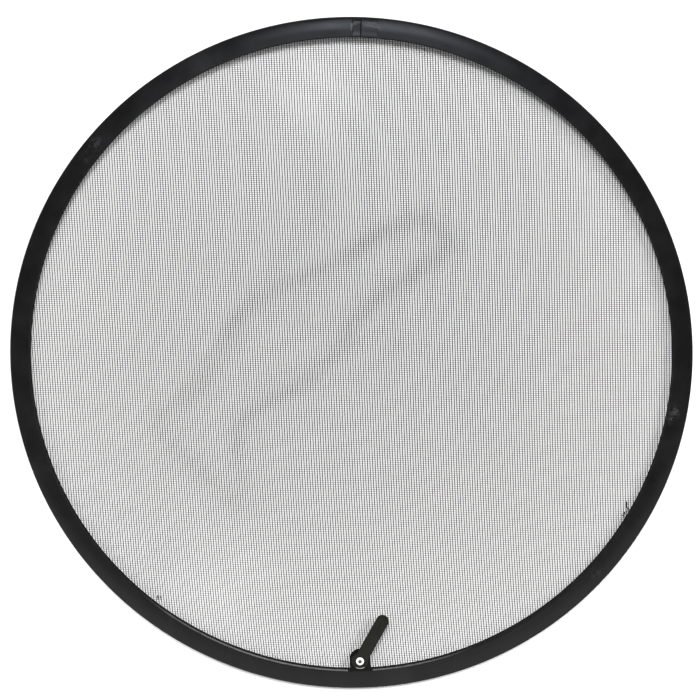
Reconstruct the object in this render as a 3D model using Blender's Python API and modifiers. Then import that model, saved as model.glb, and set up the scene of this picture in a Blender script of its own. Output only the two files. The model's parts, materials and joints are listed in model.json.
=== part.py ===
"""Round spark screen for a portable fire bowl: woven wire mesh in a rolled sheet-metal rim, with a turn latch.

The screen lies flat. Its centre is the origin, +Z is the side that carries the latch, and the rim's
back flange rests on Z = 0. The latch sits at -Y and the rim's butt seam is beside +Y. Units are metres.
"""

from math import asin, cos, pi, radians, sin, sqrt

import bmesh
import bpy

MM = 0.001

# Rim: one strip rolled into a channel that opens inwards and pinches the mesh between two turned lips
OUTER_RADIUS = 240 * MM
RIM_DEPTH = 7.0 * MM
SHEET = 0.7 * MM
FRONT_OPENING_RADIUS = 226.1 * MM
BACK_OPENING_RADIUS = 225.9 * MM
CORNER_RADIUS = 1.1 * MM
LIP_BEND_RADIUS = 0.6 * MM
CROWN = 0.2 * MM
RING_STEPS = 80

# Where the two ends of the strip meet
SEAM_ANGLE = radians(86.35)
SEAM_GAP = 0.3 * MM
SPLICE_SPAN = radians(6.0)
SPLICE_INNER_RADIUS = 229.5 * MM
SPLICE_OUTER_RADIUS = 234.4 * MM
SPLICE_THICKNESS = 0.5 * MM

# Wire cloth, as a plain disc two wires thick, and the hoop that stiffens the rim around its edge
GAP = 0.3 * MM
WIRE_DIAMETER = 0.28 * MM
MESH_THICKNESS = 2 * WIRE_DIAMETER
MESH_RADIUS = 234.4 * MM
MESH_BOTTOM = 3.3 * MM
HOOP_WIRE_DIAMETER = 3.2 * MM
HOOP_RADIUS = 236.6 * MM
HOOP_HEIGHT = 3.55 * MM

# Latch: a tongue in one piece with the rim's front flange, and a flat lever riveted to it
PIVOT_RADIUS = 218 * MM
TONGUE_HALF_WIDTH = 7.5 * MM
TONGUE_END_INSET = 0.8 * MM
TONGUE_ROOT_RADIUS = 230 * MM
TONGUE_FILLET = 1.5 * MM
TONGUE_BOTTOM = 6.2 * MM
LEVER_REACH = 39 * MM
LEVER_HALF_WIDTH = 4.6 * MM
LEVER_EYE_RADIUS = 6.0 * MM
LEVER_THICKNESS = 1.5 * MM
LEVER_REST_ANGLE = radians(-30)

# Blind rivet through the tongue and the lever, with a washer on each side of the tongue
SHANK_RADIUS = 1.6 * MM
RIVET_BORE_RADIUS = 1.2 * MM
RIVET_HEAD_RADIUS = 3.1 * MM
RIVET_HEAD_HEIGHT = 1.1 * MM
RIVET_HEAD_EDGE = 0.35 * MM
BULB_RADIUS = 2.4 * MM
BULB_LENGTH = 2.2 * MM
BULB_HOLE_RADIUS = 3.0 * MM
MANDREL_RADIUS = 0.9 * MM
MANDREL_HEAD_RADIUS = 1.5 * MM
MANDREL_HEAD_HEIGHT = 0.9 * MM
MANDREL_SUNK = 0.4 * MM
WASHER_RADIUS = 4.4 * MM
LEVER_WASHER_THICKNESS = 0.5 * MM
BACKING_WASHER_THICKNESS = 0.7 * MM
ROUND_STEPS = 24

# Heights of the latch's stack, from the tongue up and from the tongue down
TONGUE_TOP = TONGUE_BOTTOM + SHEET
LEVER_WASHER_BOTTOM = TONGUE_TOP + GAP
LEVER_BOTTOM = LEVER_WASHER_BOTTOM + LEVER_WASHER_THICKNESS + GAP
RIVET_HEAD_BOTTOM = LEVER_BOTTOM + LEVER_THICKNESS + GAP
BACKING_WASHER_BOTTOM = TONGUE_BOTTOM - GAP - BACKING_WASHER_THICKNESS
BULB_TOP = BACKING_WASHER_BOTTOM - GAP
BULB_BOTTOM = BULB_TOP - BULB_LENGTH
SHANK_HOLE_RADIUS = SHANK_RADIUS + GAP
PIVOT = (0.0, -PIVOT_RADIUS, 0.0)

# colour, metallic and roughness of each finish
FINISHES = {
    "black_paint": ((0.030, 0.030, 0.031), 0.0, 0.48),
    "blackened_wire": ((0.035, 0.035, 0.033), 0.3, 0.50),
    "spring_steel": ((0.25, 0.25, 0.26), 1.0, 0.45),
    "olive_black_paint": ((0.032, 0.033, 0.026), 0.0, 0.50),
    "bare_aluminium": ((0.88, 0.88, 0.88), 1.0, 0.30),
    "zinc_plate": ((0.55, 0.56, 0.58), 1.0, 0.35),
}
MERGE = 1e-6


def clear_scene():
    """Removes what a new Blender file starts with."""
    for thing in list(bpy.data.objects):
        bpy.data.objects.remove(thing)


def new_collection(name):
    collection = bpy.data.collections.new(name)
    bpy.context.scene.collection.children.link(collection)
    return collection


def finish_material(name):
    """One Principled material for each finish, made when it is first asked for."""
    if name in bpy.data.materials:
        return bpy.data.materials[name]
    colour, metallic, roughness = FINISHES[name]
    material = bpy.data.materials.new(name)
    material.use_nodes = True
    shader = material.node_tree.nodes["Principled BSDF"]
    shader.inputs["Base Color"].default_value = (*colour, 1.0)
    shader.inputs["Metallic"].default_value = metallic
    shader.inputs["Roughness"].default_value = roughness
    return material


def arc(centre, radius, start, end, steps):
    """Points along a circular arc, both ends included. Angles are in radians."""
    turns = [start + (end - start) * i / steps for i in range(steps + 1)]
    return [(centre[0] + radius * cos(a), centre[1] + radius * sin(a)) for a in turns]


def circle(centre, radius, steps):
    """Points of a full circle, the first one not repeated."""
    return arc(centre, radius, 0.0, 2 * pi, steps)[:-1]


def mesh_object(name, mesh, collection, finish):
    item = bpy.data.objects.new(name, mesh)
    collection.objects.link(item)
    mesh.materials.clear()
    mesh.materials.append(finish_material(finish))
    return item


def plate(name, outlines, bottom, thickness, collection, finish):
    """A flat plate: outlines filled as a 2D curve, the later ones being holes in the first."""
    curve = bpy.data.curves.new(name, "CURVE")
    curve.dimensions = "2D"
    curve.fill_mode = "BOTH"
    curve.extrude = thickness / 2
    for outline in outlines:
        spline = curve.splines.new("POLY")
        spline.points.add(len(outline) - 1)
        for point, (x, y) in zip(spline.points, outline):
            point.co = (x, y, 0.0, 1.0)
        spline.use_cyclic_u = True
    drawn = bpy.data.objects.new(name + "_outline", curve)
    collection.objects.link(drawn)
    drawn.location.z = bottom + thickness / 2
    bpy.context.view_layer.update()
    ready = drawn.evaluated_get(bpy.context.evaluated_depsgraph_get())
    mesh = bpy.data.meshes.new_from_object(ready)
    mesh.transform(drawn.matrix_world)
    mesh.name = name
    bpy.data.objects.remove(drawn)
    sides = bmesh.new()
    sides.from_mesh(mesh)
    bmesh.ops.remove_doubles(sides, verts=sides.verts, dist=MERGE)
    sides.to_mesh(mesh)
    sides.free()
    return mesh_object(name, mesh, collection, finish)


def turned(name, profile, closed, steps, collection, finish):
    """A profile of (radius, height) points turned about Z by a Screw modifier."""
    last = len(profile) - 1
    edges = [(i, i + 1) for i in range(last)]
    if closed:
        edges.append((last, 0))
    mesh = bpy.data.meshes.new(name)
    mesh.from_pydata([(r, 0.0, z) for r, z in profile], edges, [])
    item = mesh_object(name, mesh, collection, finish)
    screw = item.modifiers.new("turn", "SCREW")
    screw.axis = "Z"
    screw.steps = steps
    screw.render_steps = steps
    screw.use_merge_vertices = True
    screw.merge_threshold = MERGE
    screw.use_smooth_shade = True
    return item


def add_boolean(item, operand, operation):
    """Cuts or joins an item with another object, which is hidden and left out of the part."""
    change = item.modifiers.new(operand.name, "BOOLEAN")
    change.object = operand
    change.operation = operation
    operand.hide_render = True
    operand.display_type = "WIRE"


def rim_profile():
    """The sheet's centre line, from the front lip over the outer wall to the back lip."""
    half = SHEET / 2
    wall = OUTER_RADIUS - half
    corner_centre = wall - CORNER_RADIUS
    front_top = RIM_DEPTH - half
    front_edge = front_top - CROWN
    lip_front = FRONT_OPENING_RADIUS + half
    lip_back = BACK_OPENING_RADIUS + half
    bend_front = lip_front + LIP_BEND_RADIUS
    bend_back = lip_back + LIP_BEND_RADIUS
    middle = (bend_front + corner_centre) / 2
    reach = (corner_centre - bend_front) / 2
    points = [(lip_front, MESH_BOTTOM + MESH_THICKNESS + GAP + half)]
    points += arc((bend_front, front_edge - LIP_BEND_RADIUS), LIP_BEND_RADIUS, pi, pi / 2, 2)
    for share in (-0.5, 0.0, 0.5):
        points.append((middle + share * reach, front_edge + CROWN * (1 - share**2)))
    points += arc((corner_centre, front_edge - CORNER_RADIUS), CORNER_RADIUS, pi / 2, 0.0, 4)
    points += arc((corner_centre, half + CORNER_RADIUS), CORNER_RADIUS, 0.0, -pi / 2, 3)
    points += arc((bend_back, half + LIP_BEND_RADIUS), LIP_BEND_RADIUS, -pi / 2, -pi, 2)
    points.append((lip_back, MESH_BOTTOM - GAP - half))
    return points


def tongue_outline():
    """The tongue: its root inside the front flange, a fillet on each side, and a full round end."""
    flare = TONGUE_HALF_WIDTH + TONGUE_FILLET
    root = -TONGUE_ROOT_RADIUS
    shoulder = -FRONT_OPENING_RADIUS
    end = -(PIVOT_RADIUS - TONGUE_END_INSET)
    left = arc((-flare, shoulder + TONGUE_FILLET), TONGUE_FILLET, -pi / 2, 0.0, 4)
    tip = arc((0.0, end), TONGUE_HALF_WIDTH, pi, 0.0, 16)
    right = arc((flare, shoulder + TONGUE_FILLET), TONGUE_FILLET, pi, 1.5 * pi, 4)
    return [(-flare, root), *left, *tip, *right, (flare, root)]


def lever_outline():
    """The lever about its pivot, pointing along +Y: a round eye, straight sides and a full round tip."""
    meet = asin(LEVER_HALF_WIDTH / LEVER_EYE_RADIUS)
    eye = arc((0.0, 0.0), LEVER_EYE_RADIUS, pi / 2 + meet, 2.5 * pi - meet, 20)
    tip = arc((0.0, LEVER_REACH - LEVER_HALF_WIDTH), LEVER_HALF_WIDTH, 0.0, pi, 16)
    return eye + tip


def splice_outline():
    """A short arc of strip, centred under the seam."""
    start = SEAM_ANGLE - SPLICE_SPAN / 2
    end = SEAM_ANGLE + SPLICE_SPAN / 2
    inner = arc((0.0, 0.0), SPLICE_INNER_RADIUS, start, end, 6)
    outer = arc((0.0, 0.0), SPLICE_OUTER_RADIUS, end, start, 6)
    return inner + outer


def rivet_profile():
    """The rivet's section: domed head, shank and the bulb that its blind end swells into."""
    dome_height = RIVET_HEAD_HEIGHT - RIVET_HEAD_EDGE
    dome_base = RIVET_HEAD_BOTTOM + RIVET_HEAD_EDGE
    dome_radius = (RIVET_HEAD_RADIUS**2 + dome_height**2) / (2 * dome_height)
    points = []
    for i in range(5):
        r = RIVET_BORE_RADIUS + (RIVET_HEAD_RADIUS - RIVET_BORE_RADIUS) * i / 4
        rise = sqrt(dome_radius**2 - r**2) - (dome_radius - dome_height)
        points.append((r, dome_base + rise))
    points.append((RIVET_HEAD_RADIUS, RIVET_HEAD_BOTTOM))
    points.append((SHANK_RADIUS, RIVET_HEAD_BOTTOM))
    points.append((SHANK_RADIUS, BULB_TOP))
    bulb_middle = (BULB_TOP + BULB_BOTTOM) / 2
    points.append((BULB_RADIUS, BULB_TOP))
    points.append((BULB_RADIUS, bulb_middle))
    points.append((SHANK_RADIUS, BULB_BOTTOM))
    points.append((RIVET_BORE_RADIUS, BULB_BOTTOM))
    return points


def mandrel_profile():
    """The broken-off pin that stays in the rivet, with its head under the bulb."""
    top = RIVET_HEAD_BOTTOM + RIVET_HEAD_HEIGHT - MANDREL_SUNK
    head_top = BULB_BOTTOM - GAP
    head_bottom = head_top - MANDREL_HEAD_HEIGHT
    return [
        (0.0, top),
        (MANDREL_RADIUS, top),
        (MANDREL_RADIUS, head_top),
        (MANDREL_HEAD_RADIUS, head_top),
        (MANDREL_HEAD_RADIUS, (head_top + head_bottom) / 2),
        (MANDREL_RADIUS, head_bottom),
        (0.0, head_bottom),
    ]


def make_rim(parts, cutters):
    """The rolled channel with its seam left open, and the tongue standing in from its front flange."""
    rim = turned("rim_channel", rim_profile(), False, RING_STEPS, parts, "black_paint")
    shell = rim.modifiers.new("sheet", "SOLIDIFY")
    shell.thickness = SHEET
    shell.offset = 0.0
    shell.use_even_offset = True

    tongue = plate("tongue_blank", [tongue_outline()], TONGUE_BOTTOM, SHEET, cutters, "black_paint")
    add_boolean(rim, tongue, "UNION")

    hole = bmesh.new()
    bmesh.ops.create_cone(
        hole,
        cap_ends=True,
        segments=ROUND_STEPS,
        radius1=SHANK_HOLE_RADIUS,
        radius2=SHANK_HOLE_RADIUS,
        depth=4 * SHEET,
    )
    mesh = bpy.data.meshes.new("tongue_hole")
    hole.to_mesh(mesh)
    hole.free()
    drill = mesh_object("tongue_hole", mesh, cutters, "black_paint")
    drill.location = (0.0, -PIVOT_RADIUS, TONGUE_BOTTOM + SHEET / 2)
    add_boolean(rim, drill, "DIFFERENCE")

    slit = bmesh.new()
    bmesh.ops.create_cube(slit, size=1.0)
    reach = 2 * (OUTER_RADIUS - BACK_OPENING_RADIUS)
    bmesh.ops.scale(slit, verts=slit.verts, vec=(reach, SEAM_GAP, 2 * RIM_DEPTH))
    mesh = bpy.data.meshes.new("seam_slit")
    slit.to_mesh(mesh)
    slit.free()
    seam = mesh_object("seam_slit", mesh, cutters, "black_paint")
    seam_radius = (OUTER_RADIUS + BACK_OPENING_RADIUS) / 2
    seam.location = (seam_radius * cos(SEAM_ANGLE), seam_radius * sin(SEAM_ANGLE), RIM_DEPTH / 2)
    seam.rotation_euler.z = SEAM_ANGLE
    add_boolean(rim, seam, "DIFFERENCE")


def make_seam_splice(parts):
    bottom = RIM_DEPTH - SHEET - CROWN - GAP - SPLICE_THICKNESS
    plate("seam_splice", [splice_outline()], bottom, SPLICE_THICKNESS, parts, "black_paint")


def make_wire_mesh(parts):
    """The wire cloth's outer form, with the hole that the rivet's blind end comes through."""
    edge = circle((0.0, 0.0), MESH_RADIUS, RING_STEPS)
    hole = circle((0.0, -PIVOT_RADIUS), BULB_HOLE_RADIUS, ROUND_STEPS)
    plate("wire_mesh", [edge, hole], MESH_BOTTOM, MESH_THICKNESS, parts, "blackened_wire")


def make_hoop_wire(parts):
    section = circle((HOOP_RADIUS, HOOP_HEIGHT), HOOP_WIRE_DIAMETER / 2, 8)
    section.reverse()
    turned("hoop_wire", section, True, RING_STEPS, parts, "spring_steel")


def make_washer(name, bottom, thickness, parts):
    """A flat washer round the rivet's shank."""
    outer = circle(PIVOT[:2], WASHER_RADIUS, ROUND_STEPS)
    inner = circle(PIVOT[:2], SHANK_HOLE_RADIUS, ROUND_STEPS)
    plate(name, [outer, inner], bottom, thickness, parts, "zinc_plate")


def make_lever(parts):
    """The flat lever, with its origin on the pivot's axis, turned to where it rests."""
    hole = circle((0.0, 0.0), SHANK_HOLE_RADIUS, ROUND_STEPS)
    outlines = [lever_outline(), hole]
    lever = plate("latch_lever", outlines, LEVER_BOTTOM, LEVER_THICKNESS, parts, "olive_black_paint")
    lever.location = PIVOT
    lever.rotation_euler.z = LEVER_REST_ANGLE


def make_rivet(parts):
    """The rivet's body and the pin that it was pulled with, both on the pivot's axis."""
    body = turned("rivet_body", rivet_profile(), True, ROUND_STEPS, parts, "bare_aluminium")
    body.location = PIVOT
    pin = turned("rivet_mandrel", mandrel_profile(), False, ROUND_STEPS, parts, "spring_steel")
    pin.location = PIVOT


def main():
    clear_scene()
    parts = new_collection("spark_screen")
    cutters = new_collection("cutters")
    make_rim(parts, cutters)
    make_seam_splice(parts)
    make_wire_mesh(parts)
    make_hoop_wire(parts)
    make_washer("lever_washer", LEVER_WASHER_BOTTOM, LEVER_WASHER_THICKNESS, parts)
    make_washer("backing_washer", BACKING_WASHER_BOTTOM, BACKING_WASHER_THICKNESS, parts)
    make_lever(parts)
    make_rivet(parts)


main()
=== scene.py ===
"""The looks of a round spark screen: its rolled rim, woven wire cloth and turn latch, on a pale floor."""

import json
from math import asin, atan2, cos, pi, radians, sin, sqrt

import bmesh
import bpy
import numpy as np
from mathutils import Matrix, Vector


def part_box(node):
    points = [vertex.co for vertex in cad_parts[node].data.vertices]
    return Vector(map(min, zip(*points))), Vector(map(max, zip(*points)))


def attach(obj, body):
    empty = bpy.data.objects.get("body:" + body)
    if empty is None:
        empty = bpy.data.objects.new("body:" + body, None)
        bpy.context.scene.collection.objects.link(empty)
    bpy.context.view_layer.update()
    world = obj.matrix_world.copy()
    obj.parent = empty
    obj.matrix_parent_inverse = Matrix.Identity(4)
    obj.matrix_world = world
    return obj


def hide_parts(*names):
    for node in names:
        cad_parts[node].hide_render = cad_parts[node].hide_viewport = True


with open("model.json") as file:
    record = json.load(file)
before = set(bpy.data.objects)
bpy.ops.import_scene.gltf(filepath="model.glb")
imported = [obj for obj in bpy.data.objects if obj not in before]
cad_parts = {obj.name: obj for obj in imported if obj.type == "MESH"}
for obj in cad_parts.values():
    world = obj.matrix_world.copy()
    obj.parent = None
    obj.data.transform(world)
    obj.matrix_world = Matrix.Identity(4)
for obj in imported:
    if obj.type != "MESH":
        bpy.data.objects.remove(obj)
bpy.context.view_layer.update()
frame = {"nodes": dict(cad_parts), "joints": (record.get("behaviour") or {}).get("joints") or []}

MM = 0.001
SCREEN = "screen"
LATCH = "latch"
RIM_SHARP_ANGLE = radians(38.0)
PLATE_SHARP_ANGLE = radians(40.0)

# Rim: a sheet channel, as wide and deep as the CAD rim
OUTER_RADIUS, _, RIM_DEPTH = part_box("rim_channel")[1]
FRONT_HEIGHT = 0.6 * RIM_DEPTH
SHEET = 0.7 * MM
FRONT_OPENING_RADIUS = 226.2 * MM
BACK_OPENING_RADIUS = 226.1 * MM
FLANGE_DROP = 0.04 * MM
FLANGE_START = 227.2 * MM
FLAT_TO_RADIUS = 230.5 * MM
FLANGE_CURVE_RADIUS = 54.0 * MM
CORNER_RADIUS = 1.0 * MM
LIP_BEND_RADIUS = 0.4 * MM
LIP_GAP = 0.3 * MM
RIM_STEPS = 720

# Seam between the two ends of the strip, with the front flange pressed flat on both sides of it
SEAM_ANGLE = radians(86.35)
SEAM_GAP = 0.03 * MM
SEAM_END_ROUNDING = 0.55 * MM
SEAM_END_DROP = 0.10 * MM
SEAM_PRESS_DEPTH = 0.16 * MM
SEAM_PRESS_STEP = 1.6 * MM
SEAM_PRESS_RAMP = 3.0 * MM
SEAM_PRESS_EDGE = OUTER_RADIUS - 3.2 * MM
SEAM_PRESS_EDGE_RAMP = 1.8 * MM
# How far from the strip's start and from its end the flange is pressed, and how hard
SEAM_PRESS_START = (6.6 * MM, 1.0)
SEAM_PRESS_END = (12.5 * MM, 0.45)

# Painted highlights by the seam, where light catches the edges of the pressed flange, in mm along the rim and
# in mm
# out from the centre: round the pressed patch, with an arm back to the seam, and a leaning streak on the
# other side
SEAM_BORDER = ((5.9, 7.1), (230.8, 235.8))
SEAM_ARM = ((2.8, 7.1), (234.7, 235.8))
SEAM_STREAK = ((-13.5, -2.2), (234.4, 235.4))
SEAM_STREAK_LEAN = 0.1

# Marks in the rim's paint, each of which fades in or out between two places. The lip's pale band is a painted
# highlight, where light catches the lip's bend on the side that faces it; it lies towards an angle, and has
# limits that way, out from the centre, upwards, and sideways from the middle of the tongue
LIP_HIGHLIGHT_ANGLE = radians(259.0)
LIP_HIGHLIGHT_REACH = (190.0 * MM, 218.0 * MM)
LIP_HIGHLIGHT_RADIUS = (226.2 * MM, 226.8 * MM)
LIP_HIGHLIGHT_HEIGHT = (4.0 * MM, 4.6 * MM)
LIP_HIGHLIGHT_SIDE = (8.8 * MM, 9.4 * MM)
LIP_DULL_RADIUS = (226.5 * MM, 227.0 * MM)
CHIPPED_RADIUS = (238.3 * MM, 239.2 * MM)
FRONT_FACE_HEIGHT = (5.5 * MM, 6.0 * MM)

# Scuffs on the front of the rim: angle, distance from the centre, reach and strength
RIM_SCUFFS = (
    (radians(136.9), 233.4 * MM, 6.5 * MM, 0.45),
    (radians(139.6), 232.2 * MM, 6.5 * MM, 0.20),
    (radians(-10.2), 229.2 * MM, 7.0 * MM, 0.8),
    (radians(-11.4), 227.6 * MM, 6.0 * MM, 0.7),
    (radians(-42.7), 231.9 * MM, 6.0 * MM, 0.22),
)

# Wire cloth
CLOTH_LOW, CLOTH_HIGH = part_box("wire_mesh")
CLOTH_RADIUS = CLOTH_HIGH.x - 0.2 * MM
CLOTH_HEIGHT = (CLOTH_LOW.z + CLOTH_HIGH.z) / 2
WARP_RADIUS = 0.24 * MM
WEFT_RADIUS = 0.10 * MM
WARP_PITCH = 1.805 * MM
WEFT_PITCH = 1.385 * MM
WARP_LEAN = radians(0.5)
WARP_BOW = 6.9 * MM
WEFT_LEAN = radians(0.1)
WEFT_WAVE_HEIGHT = 0.70 * MM
WEFT_WAVE_LENGTH = 211.0 * MM
WEFT_WAVE_START = 84.0 * MM
WIRE_SCATTER = 0.02 * MM
CRIMP = 1.03
CLOTH_HOLE_RADIUS = 3.0 * MM
CLOTH_SPLITS = 3

# Thicker wires along the outline of a band on the cloth, where the cloth has a fold that is not drawn: partly
# soot, partly painted shade standing in for the shadows of the fold's wires. The band is bent, with a belly
# in the middle and a flare at one end, each given as its size, its place along the fold and its reach
FOLD_DIRECTION = radians(43.0)
FOLD_MIDDLE = -10.0 * MM
FOLD_HALF_LENGTH = 121.0 * MM
FOLD_OFFSET = 46.0 * MM
FOLD_CURVE = 0.9
FOLD_CREST = -45.0 * MM
FOLD_HALF_WIDTH = 18.0 * MM
FOLD_BELLY = (15.0 * MM, -20.0 * MM, 45.0 * MM)
FOLD_FLARE = (26.0 * MM, -132.0 * MM, 28.0 * MM)
FOLD_FLARE_SHIFT = 0.6
FOLD_CORNER = 7.0 * MM
FOLD_OUTLINE_WIDTH = 6.0 * MM
FOLD_SOOT_AND_SHADE = 0.145
# The soot and painted shade are thicker towards one end and blotchy
FOLD_SOOT_AND_SHADE_TREND = 0.3
FOLD_BLOTCH = 0.25
FOLD_BLOTCH_SIZE = (11.0 * MM, 14.0 * MM)

# The cloth is sootiest in the middle, over the fire, and cleanest in a few patches near the rim, which are
# given as place, reach and amount
MIDDLE_SOOT = 0.07
EDGE_SOOT = -0.08
CLEAN_PATCHES = (
    ((-18.0 * MM, 192.0 * MM), 28.0 * MM, 0.10),
    ((-98.0 * MM, -160.0 * MM), 34.0 * MM, 0.07),
    ((10.0 * MM, -180.0 * MM), 110.0 * MM, 0.04),
)

# Broken wire ends lying on the cloth: how far round and how far out, length, direction in plan, radius
BROKEN_ENDS = (
    (radians(-29.15), 221.5 * MM, 5.0 * MM, radians(88.0), 0.46 * MM),
    (radians(-29.67), 223.6 * MM, 2.8 * MM, radians(130.0), 0.60 * MM),
    (radians(-30.83), 223.2 * MM, 2.6 * MM, radians(75.0), 0.46 * MM),
    (radians(-30.45), 224.1 * MM, 1.8 * MM, radians(55.0), 0.40 * MM),
    (radians(-31.33), 223.6 * MM, 3.4 * MM, radians(140.0), 0.42 * MM),
    (radians(-32.03), 223.6 * MM, 1.6 * MM, radians(160.0), 0.44 * MM),
    (radians(-130.75), 221.7 * MM, 3.6 * MM, radians(92.0), 0.32 * MM),
    (radians(-130.25), 220.6 * MM, 3.4 * MM, radians(98.0), 0.32 * MM),
)

# Latch: the tongue on the rim, on the pivot that the frame gives
PIVOT = Vector(frame["joints"][0]["pos_m"])
TONGUE_HALF_WIDTH = 7.5 * MM
TONGUE_END_INSET = 0.8 * MM
TONGUE_ROOT_RADIUS = 230.0 * MM
TONGUE_FILLET = 1.5 * MM
TONGUE_TOP = 6.9 * MM
TONGUE_ROUNDING = 0.15 * MM
SHANK_HOLE_RADIUS = 1.9 * MM

# Lever: a bar with an eye, dished under the rivet's head and drooping towards its tip
LEVER_LOW, LEVER_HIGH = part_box("latch_lever")
LEVER_REACH = 38.6 * MM
LEVER_HALF_WIDTH = 4.6 * MM
LEVER_EYE_RADIUS = 6.0 * MM
LEVER_REST_ANGLE = radians(-30.0)
LEVER_ROUNDING = 0.25 * MM
LEVER_WORN_RADIUS = (5.15 * MM, 5.45 * MM)
LEVER_BEND_START = 8.0 * MM
LEVER_BEND_STEP = 2.5 * MM
LEVER_TIP_DROP = 0.45 * MM
LEVER_DISH_RADIUS = 5.0 * MM
LEVER_DISH_SLOPE = 2.2 * MM
LEVER_DISH_DEPTH = 0.36 * MM
LEVER_DISH_LIFT = 0.02 * MM
LEVER_DISH_MARGIN = 0.3 * MM

# Rivet: a domed head with a bore, on a shank with a bulb at its blind end
RIVET_LOW, RIVET_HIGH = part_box("rivet_body")
RIVET_HEAD_RADIUS = 2.98 * MM
RIVET_HEAD_HEIGHT = 1.0 * MM
RIVET_BRIM_HEIGHT = 0.35 * MM
RIVET_BRIM_ROUNDING = 0.2 * MM
RIVET_BORE_RADIUS = 1.2 * MM
RIVET_SHANK_RADIUS = SHANK_HOLE_RADIUS - 0.3 * MM
RIVET_BULB_LENGTH = 2.2 * MM
RIVET_RING_WIDTH = 0.22 * MM
RIVET_BORE_DARK_RADIUS = (1.18 * MM, 1.35 * MM)


def mesh_from_arrays(name, points, faces):
    """A mesh from an array of points and an array of equal-sided faces, smooth all over."""
    mesh = bpy.data.meshes.new(name)
    count, sides = faces.shape
    mesh.vertices.add(len(points))
    mesh.vertices.foreach_set("co", points.astype(np.float32).ravel())
    mesh.loops.add(count * sides)
    mesh.loops.foreach_set("vertex_index", faces.astype(np.int32).ravel())
    mesh.polygons.add(count)
    mesh.polygons.foreach_set("loop_start", np.arange(0, count * sides, sides, dtype=np.int32))
    mesh.polygons.foreach_set("use_smooth", np.ones(count, bool))
    mesh.update(calc_edges=True)
    return mesh


def add_object(name, mesh, material, body=None, stands_for=()):
    """Links a mesh as a piece that rides on a CAD body and stands for CAD nodes."""
    item = bpy.data.objects.new(name, mesh)
    bpy.context.scene.collection.objects.link(item)
    item.data.materials.clear()
    item.data.materials.append(material)
    if body:
        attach(item, body)
    if stands_for:
        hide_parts(*stands_for)
    return item


def sharpen(mesh, limit):
    """Smooth shading, with the edges that turn more than the limit kept sharp."""
    work = bmesh.new()
    work.from_mesh(mesh)
    for face in work.faces:
        face.smooth = True
    for edge in work.edges:
        edge.smooth = edge.is_manifold and edge.calc_face_angle(0.0) < limit
    work.to_mesh(mesh)
    work.free()


def arc(centre, radius, start, end, steps):
    """Points along a circular arc, both ends included."""
    turns = [start + (end - start) * i / steps for i in range(steps + 1)]
    return [(centre[0] + radius * cos(a), centre[1] + radius * sin(a)) for a in turns]


# ---------------------------------------------------------------- materials

RANGE_ENDS = ("From Min", "From Max", "To Min", "To Max")


class Nodes:
    """Adds nodes to one material, with links made as they are added."""

    def __init__(self, name):
        self.material = bpy.data.materials.new(name)
        self.material.use_nodes = True
        self.tree = self.material.node_tree
        self.shader = self.tree.nodes["Principled BSDF"]

    def add(self, kind, **settings):
        """A new node with these properties."""
        node = self.tree.nodes.new(kind)
        for key, value in settings.items():
            setattr(node, key, value)
        return node

    def link(self, source, target):
        self.tree.links.new(source, target)

    def place(self):
        """Where a point is on the object, in metres."""
        return self.add("ShaderNodeTexCoord").outputs["Object"]

    def noise(self, scale, detail=3.0, roughness=0.5):
        """Noise of about this many lumps to the metre."""
        node = self.add("ShaderNodeTexNoise")
        node.inputs["Scale"].default_value = scale
        node.inputs["Detail"].default_value = detail
        node.inputs["Roughness"].default_value = roughness
        self.link(self.place(), node.inputs["Vector"])
        return node.outputs["Fac"]

    def ranged(self, value, low, high, to_low, to_high):
        """A value taken from one range to another, held at its ends."""
        node = self.add("ShaderNodeMapRange")
        self.link(value, node.inputs["Value"])
        for socket, number in zip(RANGE_ENDS, (low, high, to_low, to_high)):
            node.inputs[socket].default_value = number
        return node.outputs["Result"]

    def maths(self, operation, first, second):
        """The result of two values, each a number or another node's output."""
        node = self.add("ShaderNodeMath", operation=operation)
        for socket, value in zip(node.inputs, (first, second)):
            if isinstance(value, (int, float)):
                socket.default_value = value
            else:
                self.link(value, socket)
        return node.outputs["Value"]

    def mixed(self, factor, first, second):
        """A colour between two, each a colour or another node's output."""
        node = self.add("ShaderNodeMix", data_type="RGBA")
        self.link(factor, node.inputs["Factor"])
        for socket, value in ((node.inputs[6], first), (node.inputs[7], second)):
            if isinstance(value, tuple):
                socket.default_value = (*value, 1.0)
            else:
                self.link(value, socket)
        return node.outputs[2]

    def bump(self, height, strength, distance, under=None):
        """A normal bent by a height, on top of another bump if one is given."""
        node = self.add("ShaderNodeBump")
        node.inputs["Strength"].default_value = strength
        node.inputs["Distance"].default_value = distance
        self.link(height, node.inputs["Height"])
        if under:
            self.link(under, node.inputs["Normal"])
        return node.outputs["Normal"]

    def axes(self, vector=None):
        """The X, Y and Z of a vector."""
        node = self.add("ShaderNodeSeparateXYZ")
        self.link(vector or self.place(), node.inputs[0])
        return node.outputs

    def length(self, vector):
        """How long a vector is."""
        node = self.add("ShaderNodeVectorMath", operation="LENGTH")
        self.link(vector, node.inputs[0])
        return node.outputs["Value"]

    def flat_place(self, centre=(0.0, 0.0)):
        """Where a point is in plan, from a centre."""
        node = self.add("ShaderNodeVectorMath", operation="MULTIPLY_ADD")
        self.link(self.place(), node.inputs[0])
        node.inputs[1].default_value = (1.0, 1.0, 0.0)
        node.inputs[2].default_value = (-centre[0], -centre[1], 0.0)
        return node.outputs["Vector"]

    def way_along(self, turn):
        """How far a point is from the centre along a direction in plan."""
        node = self.add("ShaderNodeVectorMath", operation="DOT_PRODUCT")
        self.link(self.flat_place(), node.inputs[0])
        node.inputs[1].default_value = (cos(turn), sin(turn), 0.0)
        return node.outputs["Value"]

    def feed(self, socket, value):
        """Gives the shader a number, a colour or another node's output."""
        target = self.shader.inputs[socket]
        if isinstance(value, (int, float)):
            target.default_value = value
        elif isinstance(value, tuple):
            target.default_value = (*value, 1.0)
        else:
            self.link(value, target)


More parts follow.
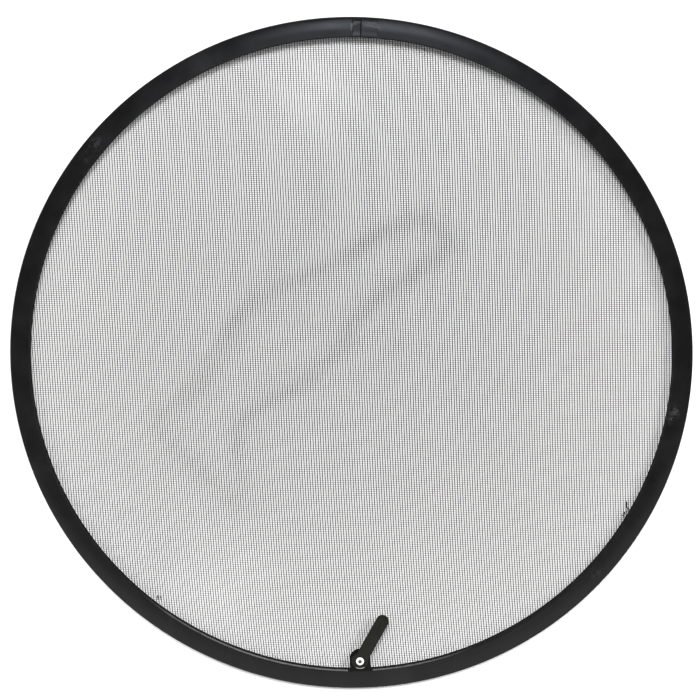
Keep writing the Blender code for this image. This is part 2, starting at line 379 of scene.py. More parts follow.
def seam_highlights(n, radius):
    """Painted highlights at the seam: round the pressed patch, and a streak on the other side."""
    soft = 0.5
    place = n.axes()
    turn = n.maths("ARCTAN2", place["Y"], place["X"])
    along = n.maths("MULTIPLY", n.maths("SUBTRACT", turn, SEAM_ANGLE), OUTER_RADIUS / MM)
    outward = n.maths("MULTIPLY", radius, 1 / MM)
    leaning = n.maths("SUBTRACT", outward, n.maths("MULTIPLY", along, SEAM_STREAK_LEAN))

    def band(value, low, high):
        rising = n.ranged(value, low - soft, low + soft, 0.0, 1.0)
        return n.maths("MULTIPLY", rising, n.ranged(value, high - soft, high + soft, 1.0, 0.0))

    def mark(across, limits):
        return n.maths("MULTIPLY", band(along, *limits[0]), band(across, *limits[1]))

    return n.maths("MAXIMUM", mark(outward, SEAM_BORDER), mark(outward, SEAM_ARM)), mark(leaning, SEAM_STREAK)


def rim_paint():
    """Black satin paint: cloudy, dusty, scuffed, chipped on the outer corner, painted highlights on the lip
    and seam.
    """
    n = Nodes("rim_paint")
    cloudy = n.noise(60.0, 4.0)
    streaks = n.noise(220.0, 5.0, 0.6)
    grain = n.noise(2500.0, 2.0)
    peel = n.noise(700.0, 1.0)
    radius = n.length(n.flat_place())
    height = n.axes()["Z"]
    on_front = n.ranged(height, *FRONT_FACE_HEIGHT, 0.0, 1.0)
    base = n.mixed(n.ranged(cloudy, 0.35, 0.7, 0.0, 1.0), (0.0036, 0.0036, 0.0040), (0.0070, 0.0070, 0.0074))
    dust = n.ranged(n.noise(17.0, 5.0, 0.65), 0.56, 0.78, 0.0, 0.5)
    base = n.mixed(n.maths("MULTIPLY", dust, streaks), base, (0.030, 0.030, 0.029))
    # The lip's pale band is a painted highlight, on the side of the lip that faces the light
    lip_highlight = n.ranged(radius, *LIP_HIGHLIGHT_RADIUS, 1.0, 0.0)
    sideways = n.maths("ABSOLUTE", n.axes()["X"], 0.0)
    for value, limits in ((height, LIP_HIGHLIGHT_HEIGHT), (sideways, LIP_HIGHLIGHT_SIDE),
                          (n.way_along(LIP_HIGHLIGHT_ANGLE), LIP_HIGHLIGHT_REACH)):
        lip_highlight = n.maths("MULTIPLY", lip_highlight, n.ranged(value, *limits, 0.0, 1.0))
    lip_highlight = n.maths("MULTIPLY", lip_highlight, n.ranged(streaks, 0.3, 0.7, 0.35, 1.0))
    base = n.mixed(lip_highlight, base, (0.17, 0.17, 0.165))
    corner = n.ranged(radius, *CHIPPED_RADIUS, 0.0, 1.0)
    chips = n.ranged(n.noise(330.0, 4.0, 0.7), 0.66, 0.72, 0.0, 1.0)
    base = n.mixed(n.maths("MULTIPLY", corner, chips), base, (0.045, 0.045, 0.046))
    for turn, distance, reach, strength in RIM_SCUFFS:
        centre = (distance * cos(turn), distance * sin(turn))
        near = n.ranged(n.length(n.flat_place(centre)), 0.3 * reach, reach, strength, 0.0)
        marks = n.ranged(n.noise(260.0, 5.0, 0.65), 0.44, 0.62, 0.0, 1.0)
        base = n.mixed(n.maths("MULTIPLY", near, marks), base, (0.050, 0.050, 0.052))
    # Painted highlights by the seam, paler round the pressed patch and along a streak beside it
    for mark, colour in zip(seam_highlights(n, radius), ((0.040, 0.041, 0.042), (0.026, 0.027, 0.028))):
        base = n.mixed(n.maths("MULTIPLY", mark, on_front), base, colour)
    n.feed("Base Color", base)
    inner_edge = n.ranged(radius, *LIP_DULL_RADIUS, 0.9, 0.0)
    satin = n.ranged(n.maths("ADD", cloudy, dust), 0.3, 0.9, 0.20, 0.30)
    n.feed("Roughness", n.maths("MAXIMUM", inner_edge, satin))
    n.feed("Specular IOR Level", 0.5)
    n.feed("Normal", n.bump(grain, 0.12, 0.02 * MM, n.bump(peel, 0.10, 0.05 * MM)))
    return n.material


def wire_paint():
    """Blackened wire, sooty in places and a little brown where it has been hot."""
    n = Nodes("mesh_wire")
    patch = n.noise(25.0, 4.0)
    fleck = n.noise(900.0, 3.0)
    base = n.mixed(n.ranged(patch, 0.35, 0.7, 0.0, 1.0), (0.009, 0.009, 0.0085), (0.018, 0.0175, 0.016))
    heat = n.ranged(n.noise(9.0, 3.0), 0.60, 0.72, 0.0, 0.7)
    base = n.mixed(heat, base, (0.026, 0.024, 0.019))
    base = n.mixed(n.ranged(fleck, 0.62, 0.75, 0.0, 0.6), base, (0.045, 0.044, 0.042))
    n.feed("Base Color", base)
    n.feed("Roughness", n.ranged(patch, 0.3, 0.7, 0.42, 0.55))
    n.feed("Specular IOR Level", 0.4)
    return n.material


def lever_paint():
    """Olive-black paint, worn bright on the edge of the eye."""
    n = Nodes("lever_paint")
    cloudy = n.noise(150.0, 4.0)
    scratch = n.noise(700.0, 5.0, 0.7)
    base = n.mixed(n.ranged(cloudy, 0.35, 0.7, 0.0, 1.0), (0.0045, 0.0050, 0.0032), (0.0080, 0.0085, 0.0058))
    from_pivot = n.flat_place((PIVOT.x, PIVOT.y))
    reach = n.length(from_pivot)
    outward = n.maths("DIVIDE", n.maths("MULTIPLY", n.axes(from_pivot)["Y"], -1.0), reach)
    side = n.ranged(outward, 0.80, 0.90, 0.0, 1.0)
    worn = n.maths("MULTIPLY", side, n.ranged(reach, *LEVER_WORN_RADIUS, 0.0, 1.0))
    base = n.mixed(n.maths("MULTIPLY", worn, n.ranged(scratch, 0.3, 0.6, 0.5, 1.0)), base, (0.30, 0.30, 0.29))
    base = n.mixed(n.ranged(scratch, 0.66, 0.72, 0.0, 0.5), base, (0.035, 0.036, 0.032))
    n.feed("Base Color", base)
    n.feed("Roughness", n.ranged(cloudy, 0.3, 0.7, 0.30, 0.40))
    n.feed("Specular IOR Level", 0.5)
    n.feed("Normal", n.bump(n.noise(1800.0, 2.0), 0.12, 0.02 * MM))
    return n.material


def aluminium():
    """Bright aluminium with faint turning rings, a few pits, and darker in and round the bore."""
    n = Nodes("rivet_aluminium")
    fine = n.noise(1500.0, 3.0)
    pits = n.noise(2600.0, 4.0, 0.7)
    reach = n.length(n.flat_place((PIVOT.x, PIVOT.y)))
    rings = n.maths("SINE", n.maths("MULTIPLY", reach, 2 * pi / RIVET_RING_WIDTH), 0.0)
    base = n.mixed(fine, (0.86, 0.86, 0.86), (0.93, 0.93, 0.93))
    base = n.mixed(n.ranged(pits, 0.68, 0.76, 0.0, 0.6), base, (0.45, 0.44, 0.43))
    # Darker in and round the bore
    base = n.mixed(n.ranged(reach, *RIVET_BORE_DARK_RADIUS, 0.8, 0.0), base, (0.10, 0.095, 0.09))
    n.feed("Base Color", base)
    n.feed("Metallic", 0.3)
    n.feed("Roughness", n.ranged(fine, 0.3, 0.7, 0.35, 0.5))
    n.feed("Normal", n.bump(rings, 0.10, 0.01 * MM, n.bump(pits, 0.15, 0.02 * MM)))
    return n.material


def zinc():
    """Zinc plating, in small crystals, dulled in patches."""
    n = Nodes("zinc")
    crystals = n.add("ShaderNodeTexVoronoi")
    crystals.inputs["Scale"].default_value = 1400.0
    n.link(n.place(), crystals.inputs["Vector"])
    grey = n.axes(crystals.outputs["Color"])["X"]
    dull = n.noise(260.0, 4.0)
    base = n.mixed(grey, (0.48, 0.49, 0.51), (0.62, 0.63, 0.65))
    base = n.mixed(n.ranged(dull, 0.5, 0.7, 0.0, 0.7), base, (0.36, 0.36, 0.36))
    n.feed("Base Color", base)
    n.feed("Metallic", 1.0)
    n.feed("Roughness", n.ranged(dull, 0.3, 0.7, 0.28, 0.5))
    n.feed("Normal", n.bump(grey, 0.10, 0.01 * MM))
    return n.material


def plain_steel():
    """Drawn steel with a dark scale and spots of rust."""
    n = Nodes("plain_steel")
    fine = n.noise(700.0, 4.0)
    spots = n.noise(180.0, 5.0, 0.65)
    rusty = n.ranged(spots, 0.56, 0.66, 0.0, 0.8)
    base = n.mixed(fine, (0.16, 0.16, 0.165), (0.26, 0.255, 0.25))
    base = n.mixed(rusty, base, (0.12, 0.06, 0.03))
    n.feed("Base Color", base)
    n.feed("Metallic", 1.0)
    n.feed("Roughness", n.ranged(n.maths("ADD", fine, rusty), 0.3, 1.5, 0.38, 0.75))
    n.feed("Normal", n.bump(spots, 0.2, 0.04 * MM))
    return n.material


# ---------------------------------------------------------------- rim


def rim_centre_line():
    """The sheet's centre line from the front lip over the outer wall to the back lip, as (radius, height)."""
    half = SHEET / 2
    wall = OUTER_RADIUS - half
    top = RIM_DEPTH - half - FLANGE_DROP
    lip_front = FRONT_OPENING_RADIUS + half
    lip_back = BACK_OPENING_RADIUS + half
    bend_front = lip_front + LIP_BEND_RADIUS
    bend_back = lip_back + LIP_BEND_RADIUS
    corner_centre = wall - CORNER_RADIUS
    slope = asin((corner_centre - FLAT_TO_RADIUS) / (FLANGE_CURVE_RADIUS - CORNER_RADIUS))
    points = [(lip_front, CLOTH_HIGH.z + LIP_GAP + half)]
    points += arc((bend_front, top - LIP_BEND_RADIUS), LIP_BEND_RADIUS, pi, pi / 2, 10)
    points += [(bend_front + (FLAT_TO_RADIUS - bend_front) * i / 4, top) for i in range(1, 4)]
    points += arc((FLAT_TO_RADIUS, top - FLANGE_CURVE_RADIUS), FLANGE_CURVE_RADIUS, pi / 2, pi / 2 - slope, 7)
    corner_height = top - FLANGE_CURVE_RADIUS + (FLANGE_CURVE_RADIUS - CORNER_RADIUS) * cos(slope)
    points += arc((corner_centre, corner_height), CORNER_RADIUS, pi / 2 - slope, 0.0, 12)[1:]
    points += arc((corner_centre, half + CORNER_RADIUS), CORNER_RADIUS, 0.0, -pi / 2, 10)
    points += [(corner_centre + (bend_back - corner_centre) * i / 4, half) for i in range(1, 4)]
    points += arc((bend_back, half + LIP_BEND_RADIUS), LIP_BEND_RADIUS, -pi / 2, -pi, 8)
    points.append((lip_back, CLOTH_LOW.z - LIP_GAP - half))
    return np.array(points)


def sheet_section(line):
    """The closed outline of a sheet that has this centre line and rounded ends."""
    step = np.gradient(line, axis=0)
    step /= np.linalg.norm(step, axis=1)[:, None]
    side = np.stack([-step[:, 1], step[:, 0]], 1) * SHEET / 2
    outside, inside = line + side, line - side
    caps = []
    for point, way in ((line[-1], step[-1]), (line[0], -step[0])):
        turn = atan2(way[1], way[0])
        caps.append(np.array(arc(point, SHEET / 2, turn + pi / 2, turn - pi / 2, 6)[1:-1]))
    return np.concatenate([outside, caps[0], inside[::-1], caps[1]])


def smooth_step(value):
    """Eases from 0 to 1, level at both ends."""
    value = np.clip(value, 0, 1)
    return value * value * (3 - 2 * value)


def pressed_heights(section, from_start, from_end):
    """The section's heights along the rim, with the front flange pressed flat on both sides of the seam."""
    radius, height = section[:, 0][None, :], section[:, 1][None, :]
    front = (height > FRONT_HEIGHT) * smooth_step((radius - FLANGE_START) / SEAM_PRESS_RAMP)
    front = front * (1 - smooth_step((radius - SEAM_PRESS_EDGE) / SEAM_PRESS_EDGE_RAMP))
    crown = np.maximum(radius - FLAT_TO_RADIUS, 0) ** 2 / (2 * FLANGE_CURVE_RADIUS)
    for distance, (length, strength) in ((from_start, SEAM_PRESS_START), (from_end, SEAM_PRESS_END)):
        press = smooth_step((length - distance) / SEAM_PRESS_STEP) * strength
        height = height + press * front * (crown - SEAM_PRESS_DEPTH)
        tip = np.clip(1 - distance / SEAM_END_ROUNDING, 0, 1) ** 2 * SEAM_END_DROP
        height = height - tip * (height > FRONT_HEIGHT)
    return height


def make_rim(material):
    """The rim: its section carried round from one end of the strip to the other, with both ends closed."""
    section = sheet_section(rim_centre_line())
    gap = (SEAM_GAP / 2) / OUTER_RADIUS
    start = SEAM_ANGLE + gap
    end = SEAM_ANGLE + 2 * pi - gap
    even = np.linspace(start, end, RIM_STEPS + 1)
    near = np.concatenate([np.arange(0.1, 1.0, 0.15), np.arange(1.2, 14.0, 0.3)]) * MM / OUTER_RADIUS
    turns = np.unique(np.concatenate([even, start + near, end - near]))
    radius = section[:, 0][None, :].repeat(len(turns), 0)
    from_start = ((turns - start) * OUTER_RADIUS)[:, None]
    from_end = ((end - turns) * OUTER_RADIUS)[:, None]
    height = pressed_heights(section, from_start, from_end)
    x = radius * np.cos(turns)[:, None]
    y = radius * np.sin(turns)[:, None]
    points = np.stack([x, y, height], -1).reshape(-1, 3)
    rows, columns = len(turns), len(section)
    i, j = np.meshgrid(np.arange(rows - 1), np.arange(columns), indexing="ij")
    k = (j + 1) % columns
    faces = np.stack([i * columns + j, (i + 1) * columns + j, (i + 1) * columns + k, i * columns + k], -1)
    mesh = mesh_from_arrays("rim", points, faces.reshape(-1, 4))
    work = bmesh.new()
    work.from_mesh(mesh)
    work.verts.ensure_lookup_table()
    work.faces.new([work.verts[c] for c in range(columns)])
    work.faces.new([work.verts[(rows - 1) * columns + c] for c in reversed(range(columns))])
    bmesh.ops.recalc_face_normals(work, faces=work.faces)
    work.to_mesh(mesh)
    work.free()
    return add_object("rim_rolled", mesh, material, SCREEN, ["rim_channel"])


# ---------------------------------------------------------------- plates


def plate_mesh(name, outlines, bottom, top, rounding):
    """A flat plate with rounded edges: outlines filled as a 2D curve, the later ones being holes."""
    curve = bpy.data.curves.new(name, "CURVE")
    curve.dimensions = "2D"
    curve.fill_mode = "BOTH"
    curve.extrude = (top - bottom) / 2 - rounding
    curve.bevel_depth = rounding
    curve.bevel_resolution = 3
    curve.offset = -rounding
    for outline in outlines:
        spline = curve.splines.new("POLY")
        spline.points.add(len(outline) - 1)
        for point, (x, y) in zip(spline.points, outline):
            point.co = (x, y, 0.0, 1.0)
        spline.use_cyclic_u = True
    drawn = bpy.data.objects.new(name, curve)
    bpy.context.scene.collection.objects.link(drawn)
    drawn.location.z = (top + bottom) / 2
    bpy.context.view_layer.update()
    mesh = bpy.data.meshes.new_from_object(drawn.evaluated_get(bpy.context.evaluated_depsgraph_get()))
    mesh.transform(drawn.matrix_world)
    bpy.data.objects.remove(drawn)
    work = bmesh.new()
    work.from_mesh(mesh)
    bmesh.ops.remove_doubles(work, verts=work.verts, dist=1e-6)
    bmesh.ops.recalc_face_normals(work, faces=work.faces)
    work.to_mesh(mesh)
    work.free()
    return mesh


def plain_object(name, mesh):
    """Links a mesh that is only used to shape a piece."""
    item = bpy.data.objects.new(name, mesh)
    bpy.context.scene.collection.objects.link(item)
    return item


def combine(item, *steps):
    """Joins objects to a piece or cuts them out of it, into the piece's mesh, and removes them."""
    for operand, operation in steps:
        change = item.modifiers.new(operand.name, "BOOLEAN")
        change.object = operand
        change.operation = operation
        change.solver = "EXACT"
    bpy.context.view_layer.update()
    made = bpy.data.meshes.new_from_object(item.evaluated_get(bpy.context.evaluated_depsgraph_get()))
    item.modifiers.clear()
    item.data = made
    for operand, _ in steps:
        bpy.data.objects.remove(operand)


def tongue_outline():
    """The tongue in plan: sides that flare into the rim, and a round end."""
    flare = TONGUE_HALF_WIDTH + TONGUE_FILLET
    shoulder = -FRONT_OPENING_RADIUS
    end = PIVOT.y + TONGUE_END_INSET
    left = arc((-flare, shoulder + TONGUE_FILLET), TONGUE_FILLET, -pi / 2, 0.0, 8)
    tip = arc((0.0, end), TONGUE_HALF_WIDTH, pi, 0.0, 40)
    right = arc((flare, shoulder + TONGUE_FILLET), TONGUE_FILLET, pi, 1.5 * pi, 8)
    return [(-flare, -TONGUE_ROOT_RADIUS), *left, *tip, *right, (flare, -TONGUE_ROOT_RADIUS)]


def add_tongue(rim, material):
    """Joins the tongue to the rim's front flange and drills it for the rivet."""
    mesh = plate_mesh("tongue", [tongue_outline()], TONGUE_TOP - SHEET, TONGUE_TOP, TONGUE_ROUNDING)
    work = bmesh.new()
    bmesh.ops.create_cone(work, cap_ends=True, segments=48, radius1=SHANK_HOLE_RADIUS,
                          radius2=SHANK_HOLE_RADIUS, depth=4 * SHEET)
    bmesh.ops.translate(work, verts=work.verts, vec=(PIVOT.x, PIVOT.y, TONGUE_TOP - SHEET / 2))
    drill = bpy.data.meshes.new("drill")
    work.to_mesh(drill)
    work.free()
    combine(rim, (plain_object("tongue", mesh), "UNION"), (plain_object("drill", drill), "DIFFERENCE"))
    rim.data.materials.clear()
    rim.data.materials.append(material)
    sharpen(rim.data, RIM_SHARP_ANGLE)


# ---------------------------------------------------------------- wire cloth


def cloth_crossings():
    """Where each warp wire, running along Y, crosses each weft wire, running along X."""
    reach = CLOTH_RADIUS + 2 * MM
    warps = np.arange(-int(reach / WARP_PITCH) - 2, int(reach / WARP_PITCH) + 3)
    wefts = np.arange(-int(reach / WEFT_PITCH) - 2, int(reach / WEFT_PITCH) + 3)
    draw = np.random.default_rng(14)
    warp_at = warps * WARP_PITCH + draw.normal(0, WIRE_SCATTER, len(warps))
    weft_at = wefts * WEFT_PITCH + draw.normal(0, WIRE_SCATTER, len(wefts))
    x = np.repeat(warp_at[:, None], len(wefts), 1)
    y = np.repeat(weft_at[None, :], len(warps), 0)
    for _ in range(4):
        x = warp_at[:, None] - np.tan(WARP_LEAN) * y + WARP_BOW * (np.maximum(-y, 0) / OUTER_RADIUS) ** 3
        wave = WEFT_WAVE_HEIGHT * np.sin(2 * pi * (x - WEFT_WAVE_START) / WEFT_WAVE_LENGTH)
        y = weft_at[None, :] + np.tan(WEFT_LEAN) * x + wave
    over = np.where((warps[:, None] + wefts[None, :]) % 2 == 0, 1.0, -1.0)
    return x, y, over


def fold_soot_and_shade(x, y):
    """The extra wire thickness along the outline of the fold: partly soot, partly painted shade."""
    along = x * cos(FOLD_DIRECTION) + y * sin(FOLD_DIRECTION)
    across = -x * sin(FOLD_DIRECTION) + y * cos(FOLD_DIRECTION)
    belly, flare = (size * np.exp(-(((along - where) / reach) ** 2)) for size, where, reach in
                    (FOLD_BELLY, FOLD_FLARE))
    middle = FOLD_OFFSET - FOLD_CURVE * (along - FOLD_CREST) ** 2 - FOLD_FLARE_SHIFT * flare
    side = np.abs(across - middle) - FOLD_HALF_WIDTH - belly - flare
    end = np.abs(along - FOLD_MIDDLE) - FOLD_HALF_LENGTH
    outline = FOLD_CORNER * np.logaddexp(side / FOLD_CORNER, end / FOLD_CORNER)
    blotch = FOLD_BLOTCH * np.sin(x / FOLD_BLOTCH_SIZE[0]) * np.cos(y / FOLD_BLOTCH_SIZE[1])
    uneven = 1 + FOLD_SOOT_AND_SHADE_TREND * along / FOLD_HALF_LENGTH + blotch
    # Soot and painted shade: the wires are thickest along the band's outline
    return FOLD_SOOT_AND_SHADE * uneven * np.exp(-((outline / FOLD_OUTLINE_WIDTH) ** 2))


def soot_and_shade_build_up(x, y):
    """How many times its own radius a wire is with its soot, and with the painted shade along the fold."""
    soot = MIDDLE_SOOT + (EDGE_SOOT - MIDDLE_SOOT) * (x**2 + y**2) / FRONT_OPENING_RADIUS**2
    for (patch_x, patch_y), reach, amount in CLEAN_PATCHES:
        soot = soot - amount * np.exp(-((x - patch_x) ** 2 + (y - patch_y) ** 2) / reach**2)
    return 1 + soot + fold_soot_and_shade(x, y)


def wire_runs(x, y, z, radius):
    """Splits each wire's crossings into runs that lie on the cloth and outside the rivet's hole."""
    inside = np.hypot(x, y) < CLOTH_RADIUS
    inside &= np.hypot(x - PIVOT.x, y - PIVOT.y) > CLOTH_HOLE_RADIUS
    wires = np.stack([x, y, z, radius * soot_and_shade_build_up(x, y)], -1)
    runs = []
    for k in range(len(x)):
        cut = np.flatnonzero(np.diff(np.concatenate([[0], inside[k].astype(int), [0]])))
        runs += [wires[k, first:last] for first, last in zip(cut[::2], cut[1::2]) if last - first > 2]
    return runs


def wires_mesh(name, runs, across):
    """Four-sided wires round the runs of (x, y, z, radius), with closed ends; across is square to them."""
    ring = np.array([[across[0] * c, across[1] * c, s] for c, s in ((1, 0), (0, 1), (-1, 0), (0, -1))])
    points, faces, base = [], [], 0
    for run in runs:
        rings = (run[:, None, :3] + run[:, None, 3:] * ring[None, :, :]).reshape(-1, 3)
        points.append(rings)
        i, j = np.meshgrid(np.arange(len(run) - 1) * 4 + base, np.arange(4), indexing="ij")
        k = (j + 1) % 4
        faces.append(np.stack([i + j, i + k, i + 4 + k, i + 4 + j], -1).reshape(-1, 4))
        last = base + (len(run) - 1) * 4
        faces.append(np.array([[base + 3, base + 2, base + 1, base], [last, last + 1, last + 2, last + 3]]))
        base += len(rings)
    return mesh_from_arrays(name, np.concatenate(points), np.concatenate(faces))


def make_cloth(material):
    """The cloth, each direction's wires in a few pieces."""
    x, y, over = cloth_crossings()
    warp_runs = wire_runs(x, y, CLOTH_HEIGHT + WEFT_RADIUS * CRIMP * over, WARP_RADIUS)
    weft_runs = wire_runs(x.T, y.T, CLOTH_HEIGHT - WARP_RADIUS * CRIMP * over.T, WEFT_RADIUS)
    for label, runs, across in (("warp", warp_runs, (1.0, 0.0)), ("weft", weft_runs, (0.0, -1.0))):
        total = sum(len(run) for run in runs)
        groups = [[] for _ in range(CLOTH_SPLITS)]
        seen = 0
        for run in runs:
            groups[min(CLOTH_SPLITS - 1, seen * CLOTH_SPLITS // total)].append(run)
            seen += len(run)
        for number, group in enumerate(groups, 1):
            mesh = wires_mesh(f"{label}_wires_{number}", group, across)
            add_object(f"cloth_{label}_{number}", mesh, material, SCREEN, ["wire_mesh"])


def make_broken_ends(material):
    """Short bits of wire that have worked loose and curl a little over the cloth, thinner at their ends."""
    curl, lift, thinning = 0.1, 0.9, 0.5
    along = np.linspace(-0.5, 0.5, 9)
    runs = []
    for turn, distance, length, direction, radius in BROKEN_ENDS:
        middle = np.array([distance * cos(turn), distance * sin(turn)])
        way = np.array([cos(direction), sin(direction)])
        side = np.array([-way[1], way[0]])
        plan = middle + along[:, None] * length * way + (curl * length * along**2)[:, None] * side
        height = CLOTH_HEIGHT + WARP_RADIUS + lift * radius * (1 - 2 * along**2)
        thick = radius * (1 - thinning * np.abs(2 * along) ** 4)
        runs.append(np.column_stack([plan, height, thick]))
    mesh = wires_mesh("broken_ends", runs, (1.0, 0.0))
    add_object("cloth_broken_ends", mesh, material, SCREEN, ["wire_mesh"])


# ---------------------------------------------------------------- latch


def revolved(name, profile, steps, centre):
    """A closed profile of (radius, height) turned about a vertical axis."""
    profile = np.array(profile)
    turns = np.linspace(0, 2 * pi, steps, endpoint=False)
    x = centre.x + profile[:, 0][None, :] * np.cos(turns)[:, None]
    y = centre.y + profile[:, 0][None, :] * np.sin(turns)[:, None]
    z = np.repeat(profile[:, 1][None, :], steps, 0)
    columns = len(profile)
    i, j = np.meshgrid(np.arange(steps), np.arange(columns), indexing="ij")
    after, k = (i + 1) % steps, (j + 1) % columns
    faces = np.stack([i * columns + j, after * columns + j, after * columns + k, i * columns + k], -1)
    mesh = mesh_from_arrays(name, np.stack([x, y, z], -1).reshape(-1, 3), faces.reshape(-1, 4))
    work = bmesh.new()
    work.from_mesh(mesh)
    bmesh.ops.remove_doubles(work, verts=work.verts, dist=1e-7)
    bmesh.ops.recalc_face_normals(work, faces=work.faces)
    work.to_mesh(mesh)
    work.free()
    sharpen(mesh, PLATE_SHARP_ANGLE)
    return mesh


def lever_dish():
    """The cutter of the shallow round dish that the rivet's head sits in."""
    rim = LEVER_HIGH.z + LEVER_DISH_LIFT
    wide = LEVER_DISH_RADIUS + LEVER_DISH_MARGIN
    profile = [(0.0, rim + MM), (wide, rim + MM), (wide, rim)]
    for slide in np.linspace(0, 1, 9):
        radius = LEVER_DISH_RADIUS - LEVER_DISH_SLOPE * slide
        profile.append((radius, rim - LEVER_DISH_DEPTH * smooth_step(slide)))
    profile.append((0.0, rim - LEVER_DISH_DEPTH))
    return revolved("dish", profile, 60, Vector((0.0, 0.0, 0.0)))


def bend_lever(mesh):
    """Cuts the bar across at even steps and lets it droop towards the tip."""
    work = bmesh.new()
    work.from_mesh(mesh)
    for station in np.arange(LEVER_BEND_START, LEVER_REACH, LEVER_BEND_STEP):
        everything = work.verts[:] + work.edges[:] + work.faces[:]
        bmesh.ops.bisect_plane(work, geom=everything, plane_co=(0, station, 0), plane_no=(0, 1, 0))
    for vertex in work.verts:
        bend = max(0.0, vertex.co.y - LEVER_BEND_START) / (LEVER_REACH - LEVER_BEND_START)
        vertex.co.z -= LEVER_TIP_DROP * bend**2
    work.to_mesh(mesh)
    work.free()


def make_lever(material):
    """The lever, drawn along +Y with its pivot at the origin, then turned and moved to its place."""
    meet = asin(LEVER_HALF_WIDTH / LEVER_EYE_RADIUS)
    eye = arc((0.0, 0.0), LEVER_EYE_RADIUS, pi / 2 + meet, 2.5 * pi - meet, 60)
    tip = arc((0.0, LEVER_REACH - LEVER_HALF_WIDTH), LEVER_HALF_WIDTH, 0.0, pi, 36)
    hole = arc((0.0, 0.0), SHANK_HOLE_RADIUS, 0.0, 2 * pi, 48)[:-1]
    lever = plain_object("lever_bar", plate_mesh("lever", [eye + tip, hole], LEVER_LOW.z, LEVER_HIGH.z,
                                                 LEVER_ROUNDING))
    combine(lever, (plain_object("dish", lever_dish()), "DIFFERENCE"))
    mesh = lever.data
    bpy.data.objects.remove(lever)
    bend_lever(mesh)
    mesh.transform(Matrix.Translation((PIVOT.x, PIVOT.y, 0.0)) @ Matrix.Rotation(LEVER_REST_ANGLE, 4, "Z"))
    sharpen(mesh, PLATE_SHARP_ANGLE)
    return add_object("lever_bar", mesh, material, LATCH, ["latch_lever"])


def make_rivet(material):
    """The domed head, with a rounded brim and a bore, and the shank and bulb below it."""
    base = RIVET_HIGH.z - RIVET_HEAD_HEIGHT
    dome = RIVET_HEAD_HEIGHT - RIVET_BRIM_HEIGHT
    dome_radius = (RIVET_HEAD_RADIUS**2 + dome**2) / (2 * dome)
    brim_radius = RIVET_HEAD_RADIUS - RIVET_BRIM_ROUNDING
    profile = []
    for radius in np.linspace(RIVET_BORE_RADIUS, brim_radius, 14):
        profile.append((radius, RIVET_HIGH.z + sqrt(dome_radius**2 - radius**2) - dome_radius))
    profile += arc((brim_radius, base + RIVET_BRIM_ROUNDING), RIVET_BRIM_ROUNDING, pi / 4, -pi / 2, 6)
    bulb = RIVET_BULB_LENGTH / 2
    profile += [(RIVET_SHANK_RADIUS, base), (RIVET_SHANK_RADIUS, RIVET_LOW.z + 2 * bulb)]
    profile += arc((RIVET_SHANK_RADIUS, RIVET_LOW.z + bulb), bulb, pi / 2, -pi / 2, 12)[1:-1]
    profile += [(RIVET_SHANK_RADIUS, RIVET_LOW.z), (RIVET_BORE_RADIUS, RIVET_LOW.z)]
    mesh = revolved("rivet", profile, 72, PIVOT)
    return add_object("rivet_domed", mesh, material, SCREEN, ["rivet_body"])


def finish_cad_node(name, material):
    """A CAD node whose shape is right keeps it and gets its material."""
    node = frame["nodes"][name]
    node.data.materials.clear()
    node.data.materials.append(material)


# ---------------------------------------------------------------- studio

# Camera: what it looks at, how far away, how far off the zenith and towards where it leans, and its own up
AIM = Vector((0.0, 0.0090, 0.0))
CAMERA_DISTANCE = 1.25
CAMERA_TILT = radians(10.386)
CAMERA_AZIMUTH = radians(82.488)
CAMERA_UP = radians(88.126)
CAMERA_TAN_HALF_WIDTH = 0.19749
FILTER_WIDTH = 1.3

# Soft suns: name, lean off the zenith towards +X and +Y, spread and energy
SUNS = (
    ("key", -0.04, 0.62, radians(20.0), 2.96),
    ("side", 1.05, 0.74, radians(28.0), 2.01),
)
DAYLIGHT = (1.0, 0.98, 0.995)

# Softboxes that the paint reflects: name, centre, width and depth, radiance and colour. They face down
PANELS = (
    ("low_panel", (-0.25, -1.47, 1.5), (3.0, 1.6), 0.49, (1.0, 1.0, 0.94)),
    ("top_panel", (0.04, 0.46, 1.5), (0.30, 0.28), 4.3, (0.90, 1.0, 1.14)),
    ("line_panel", (-0.05, 0.0, 1.5), (0.30, 0.26), 1.6, (1.0, 1.0, 1.0)),
)

# The sky by height over the horizon: from and to a height, and the brightness at each. The second is a bright
# ring on the horizon, and the brighter of the two is used
SKY_RAMPS = ((0.1, 0.85, 0.5, 0.12), (0.08, 0.20, 1.0, 0.0))
WHITE = (1.0, 1.0, 1.0, 1.0)

FLOOR_COLOUR = (0.93, 0.93, 0.93)
FLOOR_REACH = 12.0


def make_camera():
    """The camera, looking down on the screen from nearly overhead."""
    camera = bpy.data.cameras.new("camera")
    camera.sensor_width = 36.0
    camera.lens = camera.sensor_width / 2 / CAMERA_TAN_HALF_WIDTH
    item = bpy.data.objects.new("camera", camera)
    bpy.context.scene.collection.objects.link(item)
    lean = sin(CAMERA_TILT)
    back = Vector((lean * cos(CAMERA_AZIMUTH), lean * sin(CAMERA_AZIMUTH), cos(CAMERA_TILT)))
    right = Vector((cos(CAMERA_UP), sin(CAMERA_UP), 0.0)).cross(back).normalized()
    up = back.cross(right)
    turn = Matrix((right, up, back)).transposed()
    item.matrix_world = Matrix.Translation(AIM + back * CAMERA_DISTANCE) @ turn.to_4x4()
    bpy.context.scene.camera = item


def add_light(name, kind, energy, colour, source):
    """A light that comes from the direction of its source."""
    light = bpy.data.lights.new(name, kind)
    light.energy = energy
    light.color = colour
    item = bpy.data.objects.new(name, light)
    bpy.context.scene.collection.objects.link(item)
    item.rotation_euler = source.to_track_quat("Z", "Y").to_euler()
    return item


def add_panel(name, centre, target, size, radiance, colour):
    """A rectangular softbox of an even radiance, facing its target."""
    width, depth = size
    source = Vector(centre) - Vector(target)
    panel = add_light(name, "AREA", radiance * width * depth * pi, colour, source)
    panel.location = centre
    panel.data.shape = "RECTANGLE"
    panel.data.size = width
    panel.data.size_y = depth
    return panel


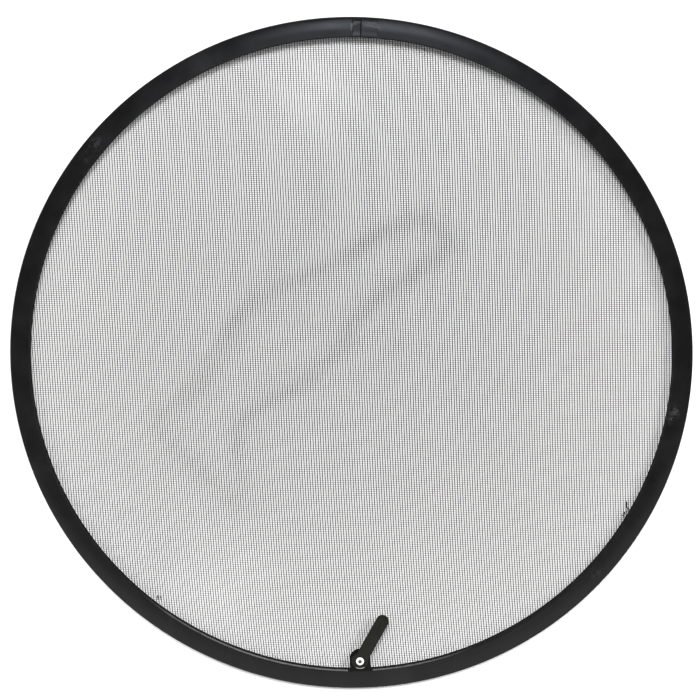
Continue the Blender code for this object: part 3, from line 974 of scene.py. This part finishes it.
def make_lights():
    """Suns and a left panel for the cloth and the floor, and panels that show as sheens on the paint."""
    for name, lean_x, lean_y, spread, energy in SUNS:
        sun = add_light(name, "SUN", energy, DAYLIGHT, Vector((lean_x, lean_y, 1.0)))
        sun.data.angle = spread
        sun.visible_glossy = False
    left = add_panel("left_panel", (-0.85, -0.15, 0.7), (0.0, 0.0, 0.0), (0.5, 0.5), 2.4, DAYLIGHT)
    left.visible_glossy = False
    for name, centre, size, radiance, colour in PANELS:
        panel = add_panel(name, centre, (*centre[:2], 0.0), size, radiance, colour)
        panel.visible_diffuse = name != "line_panel"


def make_sky():
    """A white sky, dimmer overhead, with a bright ring on the horizon."""
    world = bpy.data.worlds.new("studio")
    bpy.context.scene.world = world
    world.use_nodes = True
    nodes, links = world.node_tree.nodes, world.node_tree.links
    place = nodes.new("ShaderNodeTexCoord")
    split = nodes.new("ShaderNodeSeparateXYZ")
    links.new(place.outputs["Generated"], split.inputs[0])
    strength = nodes.new("ShaderNodeMath")
    strength.operation = "MAXIMUM"
    for socket, ends in zip(strength.inputs, SKY_RAMPS):
        ramp = nodes.new("ShaderNodeMapRange")
        links.new(split.outputs["Z"], ramp.inputs["Value"])
        for name, number in zip(RANGE_ENDS, ends):
            ramp.inputs[name].default_value = number
        links.new(ramp.outputs["Result"], socket)
    links.new(strength.outputs["Value"], nodes["Background"].inputs["Strength"])
    nodes["Background"].inputs["Color"].default_value = WHITE


def make_floor():
    """A plain pale floor."""
    n = Nodes("floor")
    n.feed("Base Color", FLOOR_COLOUR)
    n.feed("Roughness", 0.9)
    n.feed("Specular IOR Level", 0.0)
    corners = [(x * FLOOR_REACH, y * FLOOR_REACH, 0.0) for x, y in ((-1, -1), (1, -1), (1, 1), (-1, 1))]
    mesh = bpy.data.meshes.new("floor")
    mesh.from_pydata(corners, [], [(0, 1, 2, 3)])
    floor = add_object("floor", mesh, n.material)


# ---------------------------------------------------------------- assembly

bpy.context.scene.view_settings.view_transform = "Standard"
bpy.context.scene.cycles.filter_width = FILTER_WIDTH

paint = rim_paint()
rim = make_rim(paint)
add_tongue(rim, paint)
wire = wire_paint()
make_cloth(wire)
make_broken_ends(wire)
make_lever(lever_paint())
make_rivet(aluminium())
steel = plain_steel()
plating = zinc()
for cad_name, cad_material in (("hoop_wire", steel), ("rivet_mandrel", steel), ("seam_splice", paint),
                               ("lever_washer", plating), ("backing_washer", plating)):
    finish_cad_node(cad_name, cad_material)
make_floor()
make_camera()
make_lights()
make_sky()
